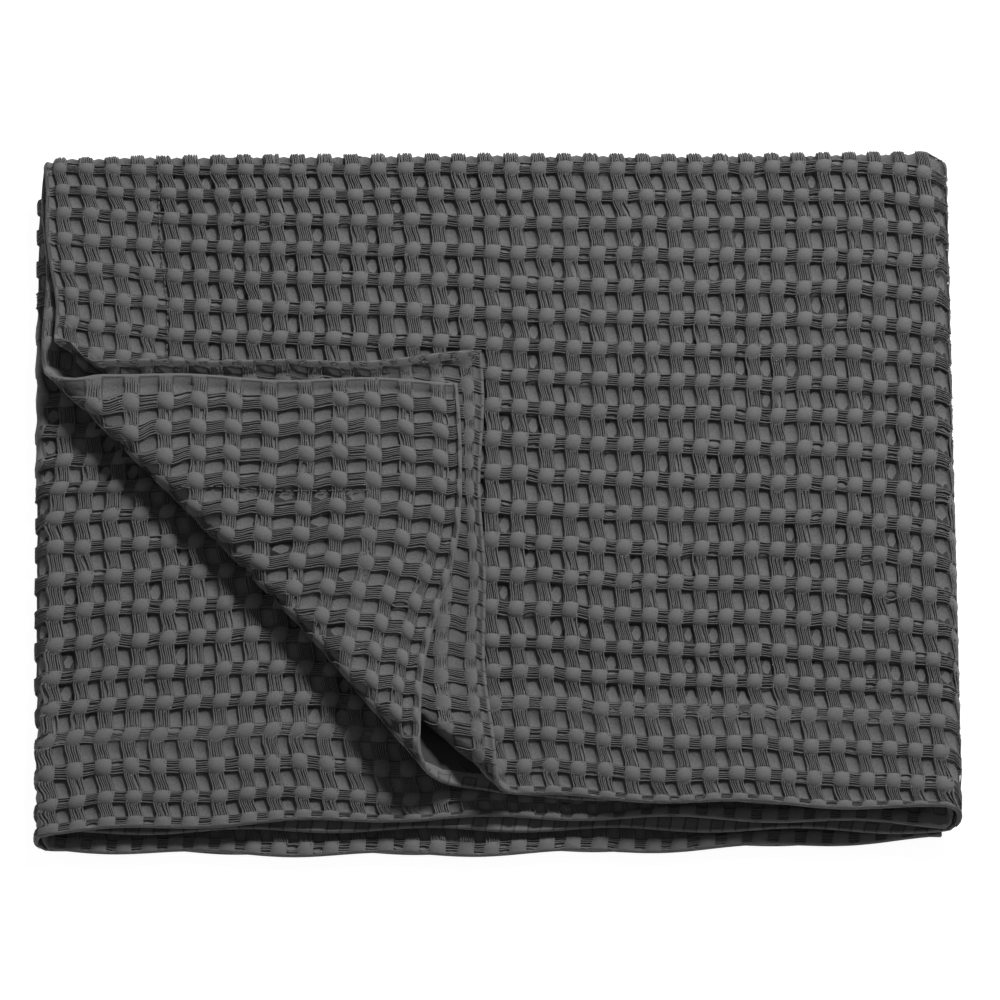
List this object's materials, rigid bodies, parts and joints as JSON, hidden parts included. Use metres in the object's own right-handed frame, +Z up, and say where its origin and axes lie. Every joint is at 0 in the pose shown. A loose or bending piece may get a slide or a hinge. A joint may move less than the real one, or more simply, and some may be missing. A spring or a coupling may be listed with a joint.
{
  "type": "folded waffle weave blanket",
  "caption": "Waffle weave cotton blanket, folded in half and then in three, lying flat with one front corner of the top layers turned up and over.",
  "frame": {"origin": "middle of the bottom of the folded blanket, on the surface that it lies on", "axes": "+X to the right along the folded blanket's longest side, +Y towards the half fold at the back, +Z up; the open front with the loose hems faces -Y"},
  "size_m": [0.4714, 0.3654, 0.0435],
  "materials": {
    "cotton": "matt, soft, chunky waffle weave"
  },
  "bodies": {
    "root": {"blanket": "cotton"}
  },
  "joints": []
}
